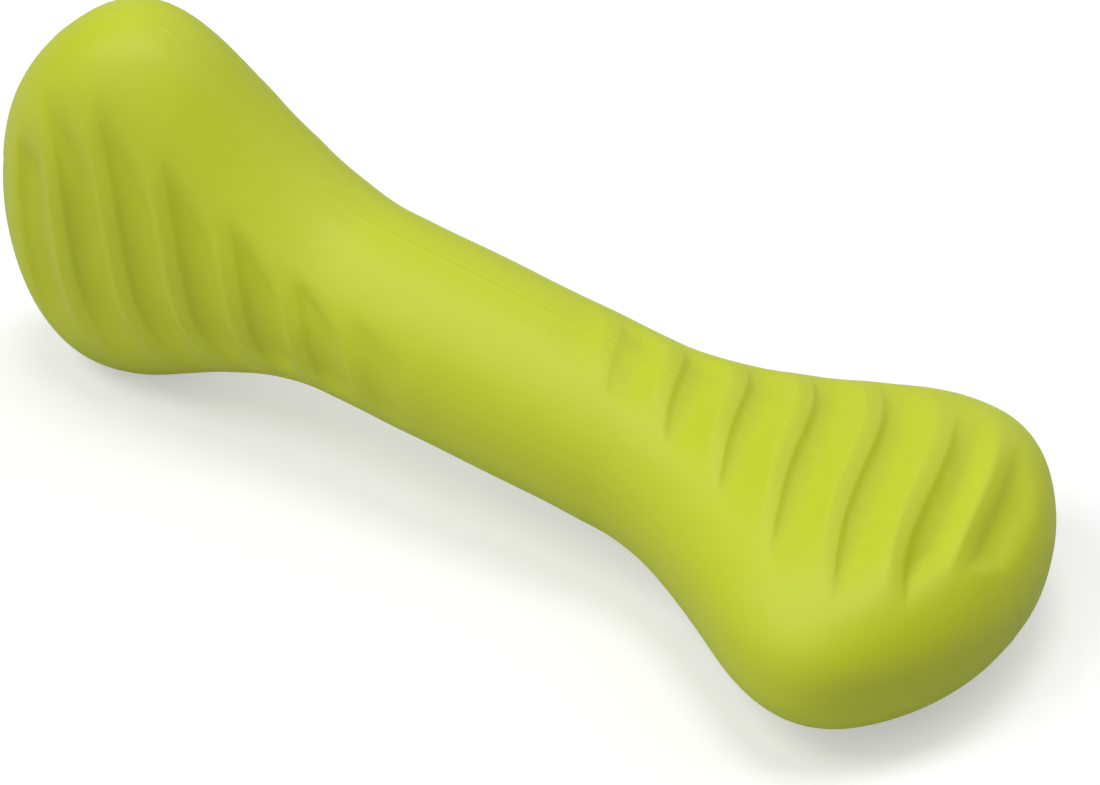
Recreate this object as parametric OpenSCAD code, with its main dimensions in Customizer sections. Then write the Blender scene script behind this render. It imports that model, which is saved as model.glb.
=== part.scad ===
// A solid rubber chew toy in the shape of a bone, moulded in one piece.
// A round shaft flares at each end into a flat paddle with a rounded outline. The two paddles are
// turned a quarter turn to each other, and slanting wave-shaped ribs cross the broad faces of both.
// Half a turn about the line y = z carries one end onto the other, apart from the ribs' own sizes.
//
// Millimetres, +Z up, X along the toy. It lies as it rests on a floor: the +X paddle flat on a broad
// face, the -X paddle standing on its edge, so the shaft rises a little towards -X. The origin is on
// the floor, under the middle of the toy's outer box.

/* [Whole toy] */
// Length from tip to tip
bone_length = 210; // [200:1:240]

/* [Shaft] */
// Diameter of the round shaft
shaft_diameter = 35.5; // [30:0.5:36]

/* [Paddles] */
// Thickness of each paddle over the crests of its ribs
paddle_thickness = 38; // [34:0.5:42]
// Width that the flare heads for, which the rounding of the end keeps it short of
flare_width = 91; // [80:0.5:100]
// Distance from the tip to the start of the flare
flare_start = 77; // [70:0.5:84]
// Distance from the tip to the end of the flare
flare_end = 12; // [5:0.5:20]
// Length of the rounding that closes the outline of a broad face
outline_round = 41; // [32:0.5:48]
// Length of the rounding that closes the paddle through its thickness
edge_round = 25.5; // [16:0.5:32]
// Power of the paddle's oval section, where 2 is an ellipse and more is squarer
paddle_squareness = 2.4; // [2:0.05:3]

/* [Ribs] */
// Number of grooves on each broad face
rib_count = 7; // [5:1:7]
// Depth of a groove below the crests beside it
rib_depth = 1.6; // [0.6:0.1:2.4]
// Spacing of the ribs on the +X paddle
flat_rib_pitch = 12.5; // [11:0.1:13]
// Spacing of the ribs on the -X paddle
upright_rib_pitch = 12.7; // [11:0.1:13]
// Distance from the tip to the last groove of the +X paddle
flat_last_groove = 8; // [7:0.1:13]
// Distance from the tip to the last groove of the -X paddle
upright_last_groove = 11.5; // [7:0.1:13]
// Slant of the +X paddle's ribs at its tip, in degrees off square
flat_tip_slant = 14; // [0:1:18]
// Slant that the +X paddle's ribs head for at the middle of the toy
flat_waist_slant = 26; // [0:1:34]
// Slant of the -X paddle's ribs at its tip, in degrees off square
upright_tip_slant = 13; // [0:1:18]
// Slant that the -X paddle's ribs head for at the middle of the toy
upright_waist_slant = 31; // [0:1:34]
// Distance from the tip within which the slant fades out
slant_fade = 26; // [24:1:34]
// Distance from the middle of the shaft within which the slant fades out
slant_lead = 18; // [12:1:24]
// Distance from the tip within which the grooves have their full depth
depth_full = 60; // [45:1:66]
// Distance from the tip at which the grooves have run out along the shaft
depth_none = 100; // [84:1:100]
// Distance from the tip within which the last wave fades out
tip_fade = 7; // [4:0.5:7]
// Length of the rounding that narrows the grooves' long side towards the tip
ribs_round = 110; // [80:1:140]

/* [Hidden] */

rubber_colour = [0.78, 0.83, 0.28];

half_length = bone_length / 2;
shaft_radius = shaft_diameter / 2;

// How far along one wave its crest lies, from the groove behind it to the next
crest_share = 0.52;
// Rounding of the crease between two waves, as a share of their height
crease_share = 0.06;
// Extra slant towards the ends of a groove, as a share of the slant at its middle
curl_share = 0.6;
// Share of a groove's reach that keeps the full depth before the groove runs out
plateau_share = 0.5;
// Reach of the grooves to their long and short side, as shares of the paddle's half width,
// first where they start on the shaft and then on the broad face
long_reach_shares = [0.2, 1.04];
short_reach_shares = [0.25, 0.84];
// Places where the reach starts and stops growing, as shares of the paddle from flare to tip
long_grow_shares = [-0.2, 0.36];
short_grow_shares = [-0.15, 0.7];
// Places of the rings along one wave, closest at the creases
wave_shares = [0, 0.08, 0.22, 0.4, 0.6, 0.78, 0.92];

// Sides of the moulding's rings, and the rings between the last groove and a tip
sides = 50;
cap_rings = 8;
// Steps of the search for the tilt at which the toy rests, and the steepest tilt that it tries
tilt_steps = 24;
tilt_limit = 30;
// Shortest run of plain shaft kept on each side of the middle
plain_shaft = 2;

// Plain shapes of a curve
function clamp(u) = max(0, min(1, u));
function ease(u) = let (v = clamp(u)) v * v * (3 - 2 * v);
function mix(a, b, u) = a + (b - a) * u;
function signed_pow(v, k) = sign(v) * pow(abs(v), k);
function run_in(u) = let (v = clamp(u)) v * (2 - v);

// Elliptical rounding of an end: 1 at len or more from the tip, 0 at the tip
function round_off(d, len) = let (v = clamp(1 - d / len)) sqrt(1 - v * v);

// Half width and half thickness of a paddle at d from its tip, and the power of its section
function flare(d) = ease((flare_start - d) / (flare_start - flare_end));
function half_width(d) = mix(shaft_radius, flare_width / 2, flare(d)) * round_off(d, outline_round);
function half_thickness(d) = mix(shaft_radius, paddle_thickness / 2, ease((flare_start - d) / outline_round))
    * round_off(d, edge_round);
function section_power(d) = mix(2, paddle_squareness, flare(d));

// Height of one wave at phase p: a quarter sine up to its crest and a quarter cosine down again,
// with the crease between two waves rounded a little
function sharp_wave(p) = p < crest_share
    ? sin(90 * p / crest_share)
    : cos(90 * (p - crest_share) / (1 - crest_share));
function softened(h) = sqrt(h * h + crease_share * crease_share) - crease_share;
function wave(p) = softened(sharp_wave(p)) / softened(1);
function phase(turns) = turns - floor(turns);

// Reach of a groove to one side, growing from the shaft to the broad face
function paddle_place(d) = (flare_start - d) / flare_start;
function reach(d, reach_shares, grow_shares) = half_width(d) * mix(reach_shares[0], reach_shares[1],
    ease((paddle_place(d) - grow_shares[0]) / (grow_shares[1] - grow_shares[0])));
function long_reach(d) = reach(d, long_reach_shares, long_grow_shares) * round_off(d, ribs_round);
function short_reach(d) = reach(d, short_reach_shares, short_grow_shares);

// Depth of a groove at d from the tip and q across the face, q below zero on its long side
function depth_along(d) = rib_depth * ease((depth_none - d) / (depth_none - depth_full)) * ease(d / tip_fade);
function depth_across(d, q) = let (
    t = q < 0 ? -q / long_reach(d) : q / short_reach(d)
) 1 - ease((t - plateau_share) / (1 - plateau_share));
function drop(d, q, turns) = depth_along(d) * depth_across(d, q) * (1 - wave(phase(turns)));

// Shift of a ring along the toy at q across the face, so that the ring follows its groove
function slant_shift(d, q, slants) = mix(tan(slants[0]), tan(slants[1]), d / half_length)
    * q * (1 + curl_share * pow(q / half_width(d), 2))
    * run_in(d / slant_fade) * ease((half_length - d) / slant_lead);

// One ring of an end, as points [distance from the tip, across, through], the angles being those
// of the oval section
function end_ring(d, slants, turns, angles) = [
    for (a = angles) let (
        k = 2 / section_power(d),
        c = signed_pow(cos(a), k),
        s = signed_pow(sin(a), k),
        q = half_width(d) * c * sin(a) * (3 - pow(sin(a), 2)) / 2,
        shifted = d + slant_shift(d, q, slants),
        face_q = half_width(shifted) * c * sign(s)
    ) [
        shifted,
        half_width(shifted) * c,
        half_thickness(shifted) * s - sign(s) * drop(d, face_q, turns) * min(1, abs(s) * 2)
    ]
];

// Stations of the rings beyond the last groove, evenly spread round the end
function cap_stations(last_groove) = let (first = asin(clamp(1 - last_groove / outline_round))) [
    for (i = [1 : cap_rings]) outline_round * (1 - sin(mix(first, 90, i / (cap_rings + 1))))
];

// Stations of the rings among the ribs, as distances from the tip
flat_stations = [
    for (i = [0 : rib_count], share = wave_shares)
        let (d = flat_last_groove + (i - share) * flat_rib_pitch)
        if (d >= flat_last_groove && d < half_length - plain_shaft) d
];
upright_stations = [
    for (i = [0 : rib_count - 1], share = wave_shares)
        let (d = upright_last_groove + (i + share) * upright_rib_pitch)
        if (d < half_length - plain_shaft) d
];

// Count of waves from the last groove, upwards in the direction of +X
function turns_flat(d) = (flat_last_groove - d) / flat_rib_pitch;
function turns_upright(d) = (d - upright_last_groove) / upright_rib_pitch;

// Sorts a short list of numbers upwards
function sorted(list) = len(list) < 2 ? list : let (pivot = list[floor(len(list) / 2)]) concat(
    sorted([for (v = list) if (v < pivot) v]),
    [for (v = list) if (v == pivot) v],
    sorted([for (v = list) if (v > pivot) v])
);

// Rings of the +X end and of the -X end, each from its tip towards the middle
angles = [for (j = [0 : sides - 1]) 360 * j / sides];
flat_slants = [flat_tip_slant, flat_waist_slant];
upright_slants = [upright_tip_slant, upright_waist_slant];
flat_rings = [
    for (d = sorted(concat(cap_stations(flat_last_groove), flat_stations)))
        [for (p = end_ring(d, flat_slants, turns_flat(d), angles)) [half_length - p[0], p[1], p[2]]]
];
upright_rings = [
    for (d = sorted(concat(cap_stations(upright_last_groove), upright_stations)))
        [for (p = end_ring(d, upright_slants, turns_upright(d), [for (a = angles) 90 - a]))
            [p[0] - half_length, p[2], p[1]]]
];
middle_ring = [for (a = angles) [0, shaft_radius * cos(a), shaft_radius * sin(a)]];
rings = concat(upright_rings, [middle_ring], [for (i = [len(flat_rings) - 1 : -1 : 0]) flat_rings[i]]);

// Points of the skin: the two tips, then the rings from -X to +X
skin_points = concat([[-half_length, 0, 0], [half_length, 0, 0]], [for (ring = rings, p = ring) p]);
function ring_point(i, j) = 2 + i * sides + j % sides;
last_ring = len(rings) - 1;
skin_faces = concat(
    [for (j = [0 : sides - 1]) [0, ring_point(0, j), ring_point(0, j + 1)]],
    [for (i = [0 : last_ring - 1], j = [0 : sides - 1])
        [ring_point(i, j), ring_point(i + 1, j), ring_point(i + 1, j + 1)]],
    [for (i = [0 : last_ring - 1], j = [0 : sides - 1])
        [ring_point(i, j), ring_point(i + 1, j + 1), ring_point(i, j + 1)]],
    [for (j = [0 : sides - 1]) [1, ring_point(last_ring, j + 1), ring_point(last_ring, j)]]
);

// Tilt at which both ends touch the floor, found by halving the range in which it lies
function height(p, tilt) = p[2] * cos(tilt) - p[0] * sin(tilt);
function lowest(points, tilt) = min([for (p = points) height(p, tilt)]);
upright_points = [for (p = skin_points) if (p[0] < 0) p];
flat_points = [for (p = skin_points) if (p[0] > 0) p];
function resting_tilt(low, high, steps) = let (middle = (low + high) / 2) steps == 0 ? middle
    : lowest(upright_points, middle) < lowest(flat_points, middle)
        ? resting_tilt(middle, high, steps - 1)
        : resting_tilt(low, middle, steps - 1);
tilt = resting_tilt(0, tilt_limit, tilt_steps);

tilted_points = [for (p = skin_points) [p[0] * cos(tilt) + p[2] * sin(tilt), p[1], height(p, tilt)]];
xs = [for (p = tilted_points) p[0]];
floor_z = min([for (p = tilted_points) p[2]]);
centre_x = (min(xs) + max(xs)) / 2;
resting_points = [for (p = tilted_points) [p[0] - centre_x, p[1], p[2] - floor_z]];

// The whole moulding: shaft, both paddles and their ribs
module chew_bone() {
    color(rubber_colour) polyhedron(points = resting_points, faces = skin_faces, convexity = 6);
}

chew_bone();
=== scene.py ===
"""A solid rubber chew bone on a white studio floor.

The bone is one moulding. A round shaft flares at each end into a flat paddle with a rounded
outline, the two paddles are turned a quarter turn to each other, and slanting wave-shaped ribs
cross their broad faces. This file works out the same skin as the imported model, far more finely.
It gives the ribs their full section, with a ridge, a shoulder and a short steep wall, and adds
what the mould left: the parting line, the mark of the gate and the slight unevenness of thick
rubber. Then it gives the skin its finish, lights it and sets the camera.

Sizes of the toy are in millimetres until they reach a mesh, which is in metres. Angles are
written in degrees.
"""
import logging
import math
from dataclasses import dataclass
from enum import Enum

import bpy
import numpy as np
from mathutils import Euler, Matrix, Vector


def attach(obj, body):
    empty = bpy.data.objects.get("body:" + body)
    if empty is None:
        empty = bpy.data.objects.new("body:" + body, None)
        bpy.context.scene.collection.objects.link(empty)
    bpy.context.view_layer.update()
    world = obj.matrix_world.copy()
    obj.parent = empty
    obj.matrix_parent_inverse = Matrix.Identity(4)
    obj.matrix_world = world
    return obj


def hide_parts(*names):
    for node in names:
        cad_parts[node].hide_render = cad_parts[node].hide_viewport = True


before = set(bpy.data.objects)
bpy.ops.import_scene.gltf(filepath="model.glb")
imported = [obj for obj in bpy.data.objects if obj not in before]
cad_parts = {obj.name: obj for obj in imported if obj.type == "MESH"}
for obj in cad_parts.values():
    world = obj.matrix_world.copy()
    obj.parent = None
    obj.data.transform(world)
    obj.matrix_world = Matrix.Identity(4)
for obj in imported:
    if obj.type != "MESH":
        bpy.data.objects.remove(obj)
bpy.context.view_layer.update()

LOG = logging.getLogger("chew_bone")
MM = 0.001
TINY = 1e-9
FULL_TURN = 2.0 * math.pi
GROOVE = "groove"

Colour = tuple[float, float, float, float]


def clamp(values: np.ndarray) -> np.ndarray:
    """Limit values to the range from 0 to 1."""
    return np.clip(values, 0.0, 1.0)


def ease(values: np.ndarray) -> np.ndarray:
    """Climb from 0 to 1 with level ends: 3 v squared less 2 v cubed."""
    share = clamp(values)
    return share * share * (3.0 - 2.0 * share)


def run_in(values: np.ndarray) -> np.ndarray:
    """Climb from 0 to 1, steeply at first and level at the end: v times 2 less v."""
    share = clamp(values)
    return share * (2.0 - share)


def level_ends(values: np.ndarray) -> np.ndarray:
    """Climb from -1 to 1 with level ends: half of 3 v less v cubed."""
    return values * (3.0 - values ** 2) / 2.0


def swing(turns: np.ndarray) -> np.ndarray:
    """Go between 0 and 1 and back once in every turn: half of 1 plus the sine."""
    return 0.5 + 0.5 * np.sin(FULL_TURN * turns)


def blend(start: float | np.ndarray, end: float | np.ndarray, share: np.ndarray) -> np.ndarray:
    """Go in a straight line from start to end."""
    return start + (end - start) * share


def signed_power(values: np.ndarray, power: np.ndarray) -> np.ndarray:
    """Raise the size of each value to a power and keep its sign."""
    return np.sign(values) * np.abs(values) ** power


def through(phase: np.ndarray, places: tuple[float, ...], heights: tuple[float, ...]) -> np.ndarray:
    """Follow a smooth curve that repeats after a phase of 1.

    Each piece is the cubic with the wanted heights and slopes at its ends. The slope at a place
    is that of the straight line between its two neighbours.

    Args:
        phase: Where on the curve, from 0 to 1.
        places: Places in rising order, the first of them 0.
        heights: Height at each place.

    Returns:
        Height at every phase.
    """
    x = np.array([places[-1] - 1.0, *places, 1.0, 1.0 + places[1]])
    y = np.array([heights[-1], *heights, heights[0], heights[1]])
    slope = (y[2:] - y[:-2]) / (x[2:] - x[:-2])
    piece = np.clip(np.searchsorted(x[1:-1], phase, side="right") - 1, 0, len(slope) - 2)
    start, run = x[piece + 1], x[piece + 2] - x[piece + 1]
    share = (phase - start) / run
    bump = share * (1.0 - share)
    return (blend(y[piece + 1], y[piece + 2], ease(share))
            + bump * run * ((1.0 - share) * slope[piece] - share * slope[piece + 1]))


def round_off(distance: np.ndarray, length: float) -> np.ndarray:
    """Close an end with a quarter ellipse.

    Args:
        distance: Distance from the tip.
        length: Length of the rounding.

    Returns:
        1 at the rounding's length or more from the tip, and 0 at the tip.
    """
    return np.sqrt(1.0 - clamp(1.0 - distance / length) ** 2)


class Lie(Enum):
    """How a paddle lies when the toy rests, and so which way the ribs' walls look."""

    FLAT = "flat"
    UPRIGHT = "upright"


@dataclass(frozen=True)
class PaddleForm:
    """Smooth form of one half of the bone, as a function of the distance from its tip.

    The round shaft grows into the broad paddle between the flare's start and its end. The two
    roundings are the lengths over which the outline and the thickness close at the tip.
    """

    shaft_diameter: float = 35.5
    thickness: float = 38.0
    flare_width: float = 91.0
    flare_start: float = 77.0
    flare_end: float = 12.0
    outline_round: float = 41.0
    edge_round: float = 25.5
    squareness: float = 2.4

    def flare(self, distance: np.ndarray) -> np.ndarray:
        """Share of the flare that is reached at a distance from the tip."""
        return ease((self.flare_start - distance) / (self.flare_start - self.flare_end))

    def half_width(self, distance: np.ndarray) -> np.ndarray:
        """Half the breadth of the broad face: the flare times the rounding of its outline."""
        width = blend(self.shaft_diameter, self.flare_width, self.flare(distance))
        return width / 2.0 * round_off(distance, self.outline_round)

    def half_thickness(self, distance: np.ndarray) -> np.ndarray:
        """Half the thickness through the broad faces, rounded off towards the tip.

        Args:
            distance: Distance from the tip.

        Returns:
            The shaft's radius, growing to half the paddle's thickness, times the rounding.
        """
        growth = ease((self.flare_start - distance) / self.outline_round)
        thickness = blend(self.shaft_diameter, self.thickness, growth)
        return thickness / 2.0 * round_off(distance, self.edge_round)

    def power(self, distance: np.ndarray) -> np.ndarray:
        """Power of the oval section: 2 is an ellipse, and more is squarer."""
        return blend(2.0, self.squareness, self.flare(distance))


@dataclass(frozen=True)
class RibForm:
    """The waves pressed into both broad faces of one paddle.

    Distances are measured from the paddle's tip. A groove's long side runs on to the rim of the
    face, and its short side ends on the face.
    """

    # Lines of the grooves: their spacing, the one next to the tip and how far it is pulled away
    # from the tip, their slant next to the tip and at the middle of the toy, and the share by
    # which the slant grows towards a groove's ends, with the lengths over which it sets in.
    pitch: float
    last_groove: float
    tip_slant: float
    waist_slant: float
    lie: Lie
    tip_pull: float
    count: int = 7
    curl_share: float = 1.7
    slant_fade: float = 26.0
    slant_lead: float = 18.0

    # Section of a wave: its depth, and heights at places from one wall to the next towards +X.
    depth: float = 2.21
    places: tuple[float, ...] = (
        0.0, 0.05, 0.1, 0.16, 0.22, 0.29, 0.38, 0.48, 0.6, 0.67, 0.72, 0.77, 0.84, 0.91, 0.96)
    heights: tuple[float, ...] = (
        0.49, 0.31, 0.19, 0.09, 0.03, 0.0, 0.09, 0.32, 0.68, 0.9, 1.0, 0.97, 0.87, 0.77, 0.66)

    # Depth along the toy: none on the shaft, full on the paddle, and fading out at the tip.
    depth_none: float = 104.0
    depth_full: float = 60.0
    tip_fade: float = 12.0

    # Reach across the face: the share of it with the full depth, by the swell and by the wall on
    # the long side and everywhere on the short side, the length from the tip over which the long
    # side's reach opens, the shares of the half width that it has on the shaft and on the face,
    # and the shares of the flare's run where it grows between them.
    swell_plateau: float = 0.35
    wall_plateau: float = 0.65
    wall_span: float = 0.46
    short_plateau: float = 0.42
    reach_round: float = 46.0
    long_reach_shares: tuple[float, float] = (0.6, 0.94)
    short_reach_shares: tuple[float, float] = (0.52, 0.82)
    long_grow_shares: tuple[float, float] = (-0.2, 0.36)
    short_grow_shares: tuple[float, float] = (-0.15, 0.7)

    # What only the wave next to the tip has, up to the near end and then fading out: how far its
    # fade leans back along the long side, how much steeper it slants, and how much further it
    # reaches on the short side.
    near_end: float = 8.0
    near_lean: float = 0.9
    near_slope: float = 0.6
    near_stretch: float = 0.35

    def near_tip(self, distance: np.ndarray) -> np.ndarray:
        """Share by which a place belongs to the wave next to the tip."""
        return 1.0 - ease((distance - self.near_end) / self.tip_fade)

    def phase(self, distance: np.ndarray) -> np.ndarray:
        """Place on the wave, from 0 at one wall to 1 at the next towards +X.

        It is the fraction of the waves counted from the last groove. The pull moves that groove
        away from the tip, and leaves the next one in its place.

        Args:
            distance: Distance from the tip.

        Returns:
            The place, from 0 to 1.
        """
        pull = self.tip_pull * (1.0 - ease(distance / (self.last_groove + self.pitch)))
        toward_tip = (self.last_groove - distance + pull) / self.pitch
        turns = toward_tip if self.lie is Lie.FLAT else -toward_tip
        return turns - np.floor(turns)

    def plateau(self, distance: np.ndarray) -> np.ndarray:
        """Share of the long side's reach that has the full depth.

        Args:
            distance: Distance from the tip.

        Returns:
            The wall's share at a wall, easing to the swell's share away from it.
        """
        phase = self.phase(distance)
        away = ease(np.minimum(phase, 1.0 - phase) / self.wall_span)
        return blend(self.wall_plateau, self.swell_plateau, away)

    def wave(self, distance: np.ndarray) -> np.ndarray:
        """Height of the wave, a repeating smooth curve through the named places and heights.

        Towards +X the wave climbs from its lowest line to a ridge, goes on as a shoulder that
        falls a little, and drops down a short wall, whose middle is at place 0.
        """
        return through(self.phase(distance), self.places, self.heights)

    def reach(self, paddle: PaddleForm, distance: np.ndarray, shares: tuple[float, float],
              grow: tuple[float, float]) -> np.ndarray:
        """Reach of the grooves to one side.

        Args:
            paddle: Form that the ribs are pressed into.
            distance: Distance from the tip.
            shares: Reach on the shaft and on the broad face, as shares of the half width.
            grow: Where the reach starts and stops growing, as shares of the flare's run.

        Returns:
            The reach in millimetres.
        """
        place = (paddle.flare_start - distance) / paddle.flare_start
        share = ease((place - grow[0]) / (grow[1] - grow[0]))
        return paddle.half_width(distance) * blend(shares[0], shares[1], share)

    def drop(self, paddle: PaddleForm, station: np.ndarray, across: np.ndarray) -> np.ndarray:
        """Depth of the skin below the smooth face.

        It is the wave's depth below its ridge times two fades. Along the toy the depth eases out
        on the shaft and at the tip, where the fade leans back along the long side. Across the
        face it eases out from the plateau's share of the reach to the whole reach.

        Args:
            paddle: Form that the ribs are pressed into.
            station: Distance from the tip at the middle of the ring.
            across: Place across the face, below zero on the grooves' long side.

        Returns:
            The depth in millimetres.
        """
        near = self.near_tip(station)
        from_tip = station + self.near_lean * near * np.minimum(across, 0.0)
        along = (ease((self.depth_none - station) / (self.depth_none - self.depth_full))
                 * ease(from_tip / self.tip_fade))
        long_reach = (self.reach(paddle, station, self.long_reach_shares, self.long_grow_shares)
                      * np.sin(math.pi / 2.0 * clamp(station / self.reach_round)))
        short_reach = (self.reach(paddle, station, self.short_reach_shares, self.short_grow_shares)
                       * (1.0 + self.near_stretch * near))
        long_side = across < 0.0
        share = np.abs(across) / (np.where(long_side, long_reach, short_reach) + TINY)
        plateau = np.where(long_side, self.plateau(station), self.short_plateau)
        fade = 1.0 - ease((share - plateau) / (1.0 - plateau))
        return self.depth * along * fade * (1.0 - self.wave(station))

    def shift(self, paddle: PaddleForm, station: np.ndarray, across: np.ndarray,
              half_length: float) -> np.ndarray:
        """Shift of a ring along the toy that makes it follow its groove.

        The shift is the place across the face times the slant's tangent, which grows towards the
        waist, towards both ends of a groove and in the wave next to the tip. It fades out at the
        tip and at the middle of the shaft.

        Args:
            paddle: Form that the ribs are pressed into.
            station: Distance from the tip at the middle of the ring.
            across: Place across the face, below zero on the grooves' long side.
            half_length: Distance from the tip to the middle of the toy.

        Returns:
            The shift in millimetres.
        """
        tip, waist = (math.tan(math.radians(angle)) for angle in (self.tip_slant, self.waist_slant))
        rise = blend(tip, waist, station / half_length)
        curl = 1.0 + self.curl_share * (across / (paddle.half_width(station) + TINY)) ** 2
        slope = 1.0 + self.near_slope * self.near_tip(station)
        lead = ease((half_length - station) / self.slant_lead)
        return rise * across * curl * run_in(station / self.slant_fade) * slope * lead


@dataclass(frozen=True)
class Columns:
    """Columns of the skin's grid: evenly round the section, and closer at the parting line.

    The offsets are the distances of the closer columns from the parting plane. They take the
    place of the even columns up to the gap, counted in columns, and draw together where the
    section is thinner than the soft radius.
    """

    count: int = 180
    gap: int = 1
    offsets: tuple[float, ...] = (-0.55, -0.3, -0.12, 0.0, 0.12, 0.3, 0.55)
    soft_radius: float = 4.0

    def layout(self) -> tuple[np.ndarray, np.ndarray, np.ndarray]:
        """List the columns in order round the section, from +Y over +Z.

        Returns:
            The angle of each column, its distance from the parting plane where that is fixed,
            and a mask of the columns where it is.
        """
        quarter = self.count // 4
        index = np.arange(self.count)
        past_line = (index + quarter) % (2 * quarter)
        free = index[np.minimum(past_line, 2 * quarter - past_line) > self.gap]
        line = np.array(self.offsets)
        top, bottom = np.full(len(line), quarter), np.full(len(line), 3 * quarter)
        angles = np.concatenate([free, top, bottom]) * (FULL_TURN / self.count)
        offsets = np.concatenate([np.zeros(len(free)), -line, line])
        fixed = np.arange(len(angles)) >= len(free)
        order = np.argsort(angles, kind="stable")
        return angles[order], offsets[order], fixed[order]

    def section(self, half_y: np.ndarray, power: np.ndarray) -> tuple[np.ndarray, np.ndarray]:
        """Unit oval of every ring.

        A free column lies at the signed power 2 / n of its angle's cosine and sine. A fixed one
        keeps its distance from the parting plane, and closes the oval |y| to the n plus |z| to
        the n equals 1.

        Args:
            half_y: Half the section along Y, one row a ring.
            power: Power n of the oval, one row a ring.

        Returns:
            Shares of the half size along Y and along Z, one row a ring and one column a column.
        """
        angles, offsets, fixed = self.layout()
        cosine, sine = np.cos(angles)[None, :], np.sin(angles)[None, :]
        limit = np.minimum(1.0, half_y / self.soft_radius)
        fixed_y = offsets[None, :] * limit / (half_y + TINY)
        fixed_z = np.sign(sine) * (1.0 - np.abs(fixed_y) ** power) ** (1.0 / power)
        return (np.where(fixed, fixed_y, signed_power(cosine, 2.0 / power)),
                np.where(fixed, fixed_z, signed_power(sine, 2.0 / power)))


@dataclass(frozen=True)
class BoneEnd:
    """One half of the bone, from its tip to the middle of the shaft.

    The cap's rings lie between the tip and the last groove, and the waves' rings, which gather
    at the walls, end a little plain shaft short of the middle. The grooves end at the rim, which
    is a share of the half thickness.
    """

    paddle: PaddleForm
    ribs: RibForm
    half_length: float
    rings_per_wave: int = 28
    gather: float = 0.6
    cap_rings: int = 34
    plain_shaft: float = 2.0
    rim: float = 0.38

    def stations(self) -> np.ndarray:
        """Distances of the rings from the tip.

        They are even round the cap. In each wave the even step s becomes s less a sine of its
        full turn, which gathers the rings at the walls.

        Returns:
            The rising distances in millimetres, one a ring.
        """
        first = math.asin(1.0 - self.ribs.last_groove / self.paddle.outline_round)
        angles = np.linspace(first, math.pi / 2.0, self.cap_rings + 2)[1:-1]
        cap = self.paddle.outline_round * (1.0 - np.sin(angles))[::-1]
        steps = np.arange(self.ribs.count * self.rings_per_wave + 1) / self.rings_per_wave
        steps = steps - self.gather * np.sin(FULL_TURN * steps) / FULL_TURN
        waves = self.ribs.last_groove + steps * self.ribs.pitch
        return np.concatenate([cap, waves[waves < self.half_length - self.plain_shaft]])

    def skin(self, columns: Columns) -> tuple[np.ndarray, np.ndarray]:
        """Surface of the half bone.

        A ring's points are its oval's shares times the half width and half thickness at the
        place that the slant shifts them to, less the grooves' depth through the broad face. The
        shift turns over from one broad face to the other, levelled off on both.

        Args:
            columns: Columns of the grid.

        Returns:
            Points [ring, column, xyz] with X the distance from the tip, and the groove's depth
            as a share of the full depth.
        """
        flat = self.ribs.lie is Lie.FLAT
        station = self.stations()[:, None]
        power = self.paddle.power(station)
        half_y = self.paddle.half_width(station) if flat else self.paddle.half_thickness(station)
        share_y, share_z = columns.section(half_y, power)
        wide, thick = (share_y, share_z) if flat else (share_z, share_y)
        side = np.sign(thick)
        lean = level_ends(signed_power(thick, power / 2.0))
        across = self.paddle.half_width(station) * wide * lean
        shifted = station + self.ribs.shift(self.paddle, station, across, self.half_length)
        face = self.paddle.half_width(shifted) * wide
        inside = ease((np.abs(thick) - self.rim) / (1.0 - self.rim))
        drop = self.ribs.drop(self.paddle, station, face * side) * inside
        depth = self.paddle.half_thickness(shifted) * thick - side * drop
        y, z = (face, depth) if flat else (depth, face)
        return np.stack([shifted, y, z], axis=-1), drop / self.ribs.depth


@dataclass(frozen=True)
class Unevenness:
    """Slight waviness that a thick rubber moulding has when it cools."""

    waves: int = 36
    shortest: float = 9.0
    longest: float = 34.0
    height: float = 0.11
    seed: int = 4

    def height_at(self, points: np.ndarray) -> np.ndarray:
        """Sum plane waves of seeded directions, lengths and starts, the longest the highest.

        Args:
            points: Points [..., xyz] in millimetres.

        Returns:
            Height in millimetres at each point.
        """
        random = np.random.default_rng(self.seed)
        total = np.zeros(points.shape[:-1])
        for _ in range(self.waves):
            direction = random.normal(size=3)
            direction /= np.linalg.norm(direction)
            length = random.uniform(self.shortest, self.longest)
            start = random.uniform(0.0, FULL_TURN)
            wave = np.sin(points @ direction * (FULL_TURN / length) + start)
            total += wave * length / self.longest
        return total * self.height / math.sqrt(self.waves)


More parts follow.
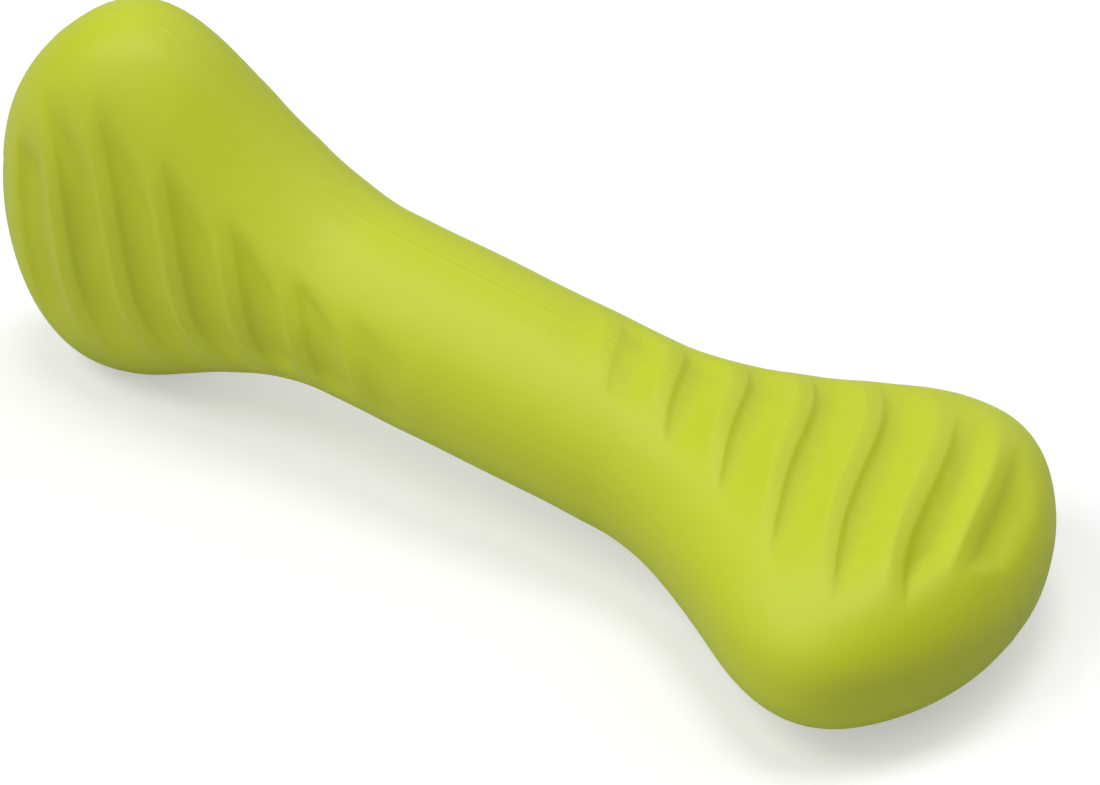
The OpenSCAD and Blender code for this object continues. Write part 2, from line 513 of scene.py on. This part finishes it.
@dataclass(frozen=True)
class MouldMarks:
    """What the two halves of the mould and its gate leave on the skin.

    A gate wave is how many radians its sine turns in a millimetre along X, Y and Z.
    """

    line_height: float = 0.1
    line_half_width: float = 0.26
    line_wander: float = 0.3
    wander_length: float = 61.0
    gate_place: tuple[float, float, float] = (98.3, -1.0, 13.0)
    gate_radius: float = 1.5
    gate_height: float = 0.3
    gate_break: float = 0.4
    gate_waves: tuple[tuple[float, float, float], ...] = ((5.1, 0.0, 2.3), (1.7, 4.3, 0.0))

    def height_at(self, points: np.ndarray) -> np.ndarray:
        """Height of the marks above the skin.

        The parting line is a bell curve of the distance from the plane Y = 0, a little higher
        and lower along its way. The gate's mark is a flat-topped bell round its place, whose
        power is 4, broken by the product of two short sine waves.

        Args:
            points: Points [..., xyz] of the bone lying along X, in millimetres.

        Returns:
            Height in millimetres at each point.
        """
        x, y, _ = np.moveaxis(points, -1, 0)
        strength = 1.0 - self.line_wander * swing(x / self.wander_length)
        line = self.line_height * strength * np.exp(-(y / self.line_half_width) ** 2)
        distance = np.linalg.norm(points - np.array(self.gate_place), axis=-1)
        first, second = (np.sin(points @ np.array(wave)) for wave in self.gate_waves)
        broken = 1.0 - self.gate_break + self.gate_break * first * second
        gate = self.gate_height * broken * np.exp(-(distance / self.gate_radius) ** 4)
        return line + gate


class Signal:
    """A shader socket that Python's own operators work on."""

    def __init__(self, graph: "Graph", socket: bpy.types.NodeSocket) -> None:
        """Hold the socket and the graph that new nodes go into."""
        self.graph = graph
        self.socket = socket

    def math(self, operation: str, first: "Signal | float", second: "Signal | float") -> "Signal":
        """Add a Math node with two inputs."""
        return self.graph.add("ShaderNodeMath", {"operation": operation}, {0: first, 1: second})

    def __add__(self, other: "Signal | float") -> "Signal":
        """Add a value to the signal."""
        return self.math("ADD", self, other)

    def __radd__(self, other: float) -> "Signal":
        """Add the signal to a value."""
        return self.math("ADD", other, self)

    def __sub__(self, other: "Signal | float") -> "Signal":
        """Take a value from the signal."""
        return self.math("SUBTRACT", self, other)

    def __rsub__(self, other: float) -> "Signal":
        """Take the signal from a value."""
        return self.math("SUBTRACT", other, self)

    def __mul__(self, other: "Signal | float") -> "Signal":
        """Multiply the signal by a value."""
        return self.math("MULTIPLY", self, other)

    def __rmul__(self, other: float) -> "Signal":
        """Multiply a value by the signal."""
        return self.math("MULTIPLY", other, self)


class Graph:
    """The node tree of one material or of the world."""

    # Sockets of the Mix node that hold colours: its two inputs, and its output.
    COLOURS_IN = (6, 7)
    COLOUR_OUT = 2

    def __init__(self, owner: bpy.types.Material | bpy.types.World) -> None:
        """Empty the owner's node tree.

        Args:
            owner: The material or the world that the tree belongs to.
        """
        owner.use_nodes = True
        self.tree = owner.node_tree
        self.tree.nodes.clear()

    def add(self, kind: str, settings: dict[str, object] | None = None,
            inputs: dict[str | int, object] | None = None, output: str | int = 0) -> Signal:
        """Add a node.

        Args:
            kind: The node's type.
            settings: Its properties, which are set first.
            inputs: Values or links for its sockets, by name or by number.
            output: The output socket to hand back.

        Returns:
            The chosen output as a signal, or the first input of a node without outputs.
        """
        node = self.tree.nodes.new(kind)
        for name, value in (settings or {}).items():
            setattr(node, name, value)
        for name, value in (inputs or {}).items():
            if isinstance(value, Signal):
                self.tree.links.new(value.socket, node.inputs[name])
            else:
                node.inputs[name].default_value = value
        return Signal(self, node.outputs[output]) if node.outputs else Signal(self, node.inputs[0])

    def mix(self, factor: Signal, first: Signal | Colour, second: Signal | Colour) -> Signal:
        """Mix two colours, the first where the factor is 0 and the second where it is 1."""
        return self.add("ShaderNodeMix", {"data_type": "RGBA", "clamp_factor": True},
                        {"Factor": factor, **dict(zip(self.COLOURS_IN, (first, second)))},
                        self.COLOUR_OUT)


@dataclass(frozen=True)
class LimeRubber:
    """Matt lime rubber: mottled a little, darkened in the grooves by painted shade, with a fine
    moulded grain.

    Scales count the features in a metre. Each pair of shares says how much the first and the
    second of two patterns add.
    """

    base: Colour = (0.548, 0.627, 0.022, 1.0)
    # The deep tone: where the mottle falls at random, and painted shade in the grooves.
    deep_and_painted_shade: Colour = (0.49, 0.565, 0.006, 1.0)
    bloom: Colour = (0.60, 0.68, 0.05, 1.0)
    roughness: float = 0.52
    ior: float = 1.44
    mottle_scale: float = 55.0
    mottle_detail: float = 3.0
    grain_scale: float = 1900.0
    grain_detail: float = 2.0
    grain_depth: float = 0.00003
    speckle_per_grain: float = 6.0
    noise_roughness: float = 0.55
    noise_middle: float = 0.5
    painted_groove_shade_and_mottle: tuple[float, float] = (0.5, 0.5)
    speckle_mottle_bloom: tuple[float, float] = (0.5, 0.6)
    grain_speckle_relief: tuple[float, float] = (0.7, 0.3)
    speckle_groove_roughness: tuple[float, float] = (0.1, 0.06)

    def noise(self, graph: Graph, place: Signal, scale: float, detail: float) -> Signal:
        """Add a noise over the object's own coordinates.

        Args:
            graph: Node tree of the material.
            place: The object's coordinates.
            scale: Count of features in a metre.
            detail: Count of finer layers on them.

        Returns:
            The noise, from 0 to 1.
        """
        inputs = {"Vector": place, "Scale": scale, "Detail": detail,
                  "Roughness": self.noise_roughness}
        return graph.add("ShaderNodeTexNoise", {"noise_dimensions": "3D"}, inputs, "Fac")

    def material(self) -> bpy.types.Material:
        """Make the material.

        The base colour darkens in the grooves, which is painted shade, and deepens at random with
        the mottle, and it blooms with the speckle and the mottle. The grain and the speckle raise
        the skin, and the speckle and the grooves make it rougher.

        Returns:
            The finished material.
        """
        finish = bpy.data.materials.new("lime_rubber")
        graph = Graph(finish)
        place = graph.add("ShaderNodeTexCoord", output="Object")
        groove = graph.add("ShaderNodeAttribute", {"attribute_name": GROOVE}, output="Fac")
        mottle = self.noise(graph, place, self.mottle_scale, self.mottle_detail)
        speckle = self.noise(graph, place, self.grain_scale / self.speckle_per_grain,
                             self.grain_detail)
        grain = self.noise(graph, place, self.grain_scale, self.grain_detail)
        mottled, speckled = mottle - self.noise_middle, speckle - self.noise_middle
        # Painted shade: the groove depth darkens the base colour towards the deep tone where the
        # creases would be in shade; the mottle darkens it at random.
        by_groove, by_mottle = self.painted_groove_shade_and_mottle
        shade = graph.mix(groove * by_groove + mottled * by_mottle, self.base, self.deep_and_painted_shade)
        by_speckle, by_mottle = self.speckle_mottle_bloom
        colour = graph.mix(speckled * by_speckle + mottled * by_mottle, shade, self.bloom)
        by_grain, by_speckle = self.grain_speckle_relief
        bump = graph.add("ShaderNodeBump", {}, {
            "Strength": 1.0, "Distance": self.grain_depth,
            "Height": grain * by_grain + speckle * by_speckle})
        by_speckle, by_groove = self.speckle_groove_roughness
        skin = graph.add("ShaderNodeBsdfPrincipled", {}, {
            "Base Color": colour,
            "Roughness": self.roughness + speckled * by_speckle + groove * by_groove,
            "Normal": bump, "IOR": self.ior, "Metallic": 0.0})
        graph.add("ShaderNodeOutputMaterial", {}, {"Surface": skin})
        return finish


@dataclass(frozen=True)
class ChewBone:
    """The whole moulding, from its sizes to its finished mesh."""

    length: float = 210.0
    tilt_limit: float = 30.0
    tilt_halvings: int = 24
    paddle: PaddleForm = PaddleForm()
    flat_ribs: RibForm = RibForm(
        pitch=12.5, last_groove=8.0, tip_slant=10.2, waist_slant=19.4, lie=Lie.FLAT, tip_pull=3.6)
    upright_ribs: RibForm = RibForm(
        pitch=12.7, last_groove=11.5, tip_slant=9.5, waist_slant=23.4, lie=Lie.UPRIGHT,
        tip_pull=0.0, depth_none=110.0)
    columns: Columns = Columns()
    unevenness: Unevenness = Unevenness()
    marks: MouldMarks = MouldMarks()
    finish: LimeRubber = LimeRubber()

    def skin(self) -> tuple[np.ndarray, np.ndarray]:
        """Join both ends at the middle of the shaft.

        Returns:
            Points [ring, column, xyz] of the bone lying along X, and each one's groove depth.
        """
        half = self.length / 2.0
        flat, flat_groove = BoneEnd(self.paddle, self.flat_ribs, half).skin(self.columns)
        upright, upright_groove = BoneEnd(self.paddle, self.upright_ribs, half).skin(self.columns)
        flat[..., 0] = half - flat[..., 0]
        upright[..., 0] = upright[..., 0] - half
        middle = (flat[-1] + upright[-1]) / 2.0
        plain = np.zeros((1, middle.shape[0]))
        points = np.concatenate([upright, middle[None], flat[::-1]])
        return points, np.concatenate([upright_groove, plain, flat_groove[::-1]])

    @staticmethod
    def normals(points: np.ndarray) -> np.ndarray:
        """Unit normals of the grid, the cross product of the steps around and along it.

        Args:
            points: Points [ring, column, xyz].

        Returns:
            The outward normals, shaped as the points are.
        """
        along = np.gradient(points, axis=0)
        around = np.roll(points, -1, axis=1) - np.roll(points, 1, axis=1)
        cross = np.cross(around, along)
        return cross / (np.linalg.norm(cross, axis=-1, keepdims=True) + TINY)

    @staticmethod
    def tilted(points: np.ndarray, tilt: float) -> np.ndarray:
        """Turn points about Y, which lowers +X.

        Args:
            points: Points [..., xyz].
            tilt: Angle of the turn in radians.

        Returns:
            The turned points.
        """
        x, y, z = np.moveaxis(points, -1, 0)
        sine, cosine = math.sin(tilt), math.cos(tilt)
        return np.stack([x * cosine + z * sine, y, z * cosine - x * sine], axis=-1)

    def resting(self, points: np.ndarray) -> np.ndarray:
        """Lay the bone on the floor.

        The bone turns about Y until both ends are equally low, which halving the range of the
        tilt finds, and then moves so that the middle of its box stands over the origin.

        Args:
            points: Points [point, xyz] of the bone lying along X.

        Returns:
            The points as the bone rests.
        """
        low, high = 0.0, math.radians(self.tilt_limit)
        upright, flat = points[points[:, 0] < 0.0], points[points[:, 0] > 0.0]
        for _ in range(self.tilt_halvings):
            tilt = (low + high) / 2.0
            upright_low = self.tilted(upright, tilt)[:, 2].min()
            flat_low = self.tilted(flat, tilt)[:, 2].min()
            low, high = (tilt, high) if upright_low < flat_low else (low, tilt)
        LOG.info("resting tilt %.3f degrees", math.degrees(tilt))
        turned = self.tilted(points, tilt)
        box_low, box_high = turned.min(axis=0), turned.max(axis=0)
        return turned - np.array([(box_low[0] + box_high[0]) / 2.0, 0.0, box_low[2]])

    @staticmethod
    def faces(rings: int, sides: int) -> list[list[int]]:
        """List the faces: quads between neighbouring rings, and a fan of triangles at each tip.

        Args:
            rings: Count of the rings, whose points come after those of the two tips.
            sides: Count of the points in a ring.

        Returns:
            The numbers of every face's points, in an order that makes it face outwards.
        """
        tips = 2
        ring, side = np.meshgrid(np.arange(rings - 1), np.arange(sides), indexing="ij")
        near, ahead = tips + ring * sides, (side + 1) % sides
        far = near + sides
        quads = np.stack([near + side, near + ahead, far + ahead, far + side], axis=-1)
        around = np.arange(sides)
        ahead, last = (around + 1) % sides, tips + (rings - 1) * sides
        start = np.stack([np.zeros(sides, int), tips + ahead, tips + around], axis=-1)
        end = np.stack([np.ones(sides, int), last + around, last + ahead], axis=-1)
        return quads.reshape(-1, 4).tolist() + start.tolist() + end.tolist()

    def build(self) -> bpy.types.Object:
        """Make the mesh of the bone, two tips and then the rings from -X to +X, and dress it.

        Returns:
            The object, at the origin, with each point's groove depth as an attribute.
        """
        points, groove = self.skin()
        relief = self.marks.height_at(points) + self.unevenness.height_at(points)
        points = points + self.normals(points) * relief[..., None]
        half = self.length / 2.0
        tips = [[-half, 0.0, 0.0], [half, 0.0, 0.0]]
        vertices = self.resting(np.concatenate([tips, points.reshape(-1, 3)])) * MM
        depths = np.concatenate([np.zeros(len(tips)), groove.ravel()])
        mesh = bpy.data.meshes.new("moulded_bone")
        mesh.from_pydata(vertices.tolist(), [], self.faces(*groove.shape))
        mesh.polygons.foreach_set("use_smooth", np.ones(len(mesh.polygons), bool))
        layer = mesh.attributes.new(GROOVE, "FLOAT", "POINT")
        layer.data.foreach_set("value", depths.astype(np.float32))
        mesh.materials.append(self.finish.material())
        mesh.update()
        piece = bpy.data.objects.new("moulded_bone", mesh)
        bpy.context.scene.collection.objects.link(piece)
        return piece


@dataclass(frozen=True)
class SoftLight:
    """A broad far lamp, by where it stands seen from the toy.

    The azimuth turns from +Y towards +X, the elevation climbs from the floor, the level is the
    lamp's strength, and the spread is the breadth of its disc, which softens the shadow.
    """

    name: str
    azimuth: float
    elevation: float
    level: float
    spread: float = 40.0

    def hang(self) -> bpy.types.Object:
        """Add the lamp to the scene.

        Returns:
            The lamp object, which shines towards the origin.
        """
        lamp = bpy.data.lights.new(self.name, "SUN")
        lamp.energy = self.level
        lamp.angle = math.radians(self.spread)
        azimuth, elevation = math.radians(self.azimuth), math.radians(self.elevation)
        aside = math.cos(elevation)
        away = Vector((math.sin(azimuth) * aside, math.cos(azimuth) * aside, math.sin(elevation)))
        light = bpy.data.objects.new(self.name, lamp)
        light.matrix_world = away.to_track_quat("Z", "Y").to_matrix().to_4x4()
        bpy.context.scene.collection.objects.link(light)
        return light


@dataclass(frozen=True)
class Studio:
    """White floor, soft lamps all round and the camera of the photograph."""

    floor_half: float = 6.0
    floor_albedo: float = 0.6
    floor_glow: float = 0.445
    lights: tuple[SoftLight, ...] = (
        SoftLight("overhead", 0.0, 88.0, 1.107, 24.0),
        SoftLight("front_left", 225.0, 55.0, 0.934, 28.0),
        SoftLight("low_front_left", 225.0, 25.0, 0.360),
        SoftLight("front", 180.0, 55.0, 0.448),
        SoftLight("low_front", 180.0, 25.0, 0.314),
        SoftLight("back", 0.0, 25.0, 0.412),
        SoftLight("back_right", 45.0, 55.0, 0.626),
        SoftLight("back_left", 315.0, 25.0, 0.238),
    )
    camera_place: tuple[float, float, float] = (0.4609, -0.7156, 0.6973)
    camera_turn: tuple[float, float, float] = (51.632, 0.573, 31.762)
    focal_share: float = 5.566
    sensor_width: float = 36.0
    view_end: float = 50.0

    def floor(self) -> bpy.types.Object:
        """Make the floor, a grey sheet whose glow for the camera alone makes it show white.

        The toy's shadow stays on it, and the light that it throws back stays that of the grey.

        Returns:
            The floor object.
        """
        half = self.floor_half
        corners = [(-half, -half, 0.0), (half, -half, 0.0), (half, half, 0.0), (-half, half, 0.0)]
        mesh = bpy.data.meshes.new("floor")
        mesh.from_pydata(corners, [], [(0, 1, 2, 3)])
        paint = bpy.data.materials.new("white_floor")
        graph = Graph(paint)
        grey = (self.floor_albedo,) * 3 + (1.0,)
        matt = graph.add("ShaderNodeBsdfDiffuse", {}, {"Color": grey})
        seen = graph.add("ShaderNodeLightPath", output="Is Camera Ray")
        glow = graph.add("ShaderNodeEmission", {}, {"Strength": seen * self.floor_glow})
        both = graph.add("ShaderNodeAddShader", {}, {0: matt, 1: glow})
        graph.add("ShaderNodeOutputMaterial", {}, {"Surface": both})
        mesh.materials.append(paint)
        floor = bpy.data.objects.new("floor", mesh)
        bpy.context.scene.collection.objects.link(floor)
        return floor

    def world(self) -> None:
        """Make the background white to the camera, and leave the light to the lamps."""
        world = bpy.data.worlds.new("studio")
        bpy.context.scene.world = world
        graph = Graph(world)
        seen = graph.add("ShaderNodeLightPath", output="Is Camera Ray")
        white = graph.add("ShaderNodeBackground", {}, {
            "Color": (1.0, 1.0, 1.0, 1.0), "Strength": seen})
        graph.add("ShaderNodeOutputWorld", {}, {"Surface": white})

    def camera(self) -> bpy.types.Object:
        """Set the camera where the photograph was taken from.

        Returns:
            The camera object, which the scene uses.
        """
        lens = bpy.data.cameras.new("camera")
        lens.sensor_fit = "HORIZONTAL"
        lens.sensor_width = self.sensor_width
        lens.lens = self.sensor_width * self.focal_share
        lens.clip_end = self.view_end
        camera = bpy.data.objects.new("camera", lens)
        turn = Euler([math.radians(angle) for angle in self.camera_turn], "XYZ")
        place = Matrix.Translation(Vector(self.camera_place))
        camera.matrix_world = place @ turn.to_matrix().to_4x4()
        bpy.context.scene.collection.objects.link(camera)
        bpy.context.scene.camera = camera
        return camera


def main() -> None:
    """Set up the camera, build and dress the bone, and light it on its floor."""
    logging.basicConfig(level=logging.INFO, format="%(name)s: %(message)s")
    studio = Studio()
    studio.camera()
    bone = ChewBone().build()
    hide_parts("chew_bone")
    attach(bone, "root")
    LOG.info("%s: %d faces", bone.name, len(bone.data.polygons))
    studio.world()
    for light in studio.lights:
        light.hang()
    studio.floor()
    bpy.context.scene.view_settings.view_transform = "Standard"


if __name__ == "__main__":
    main()
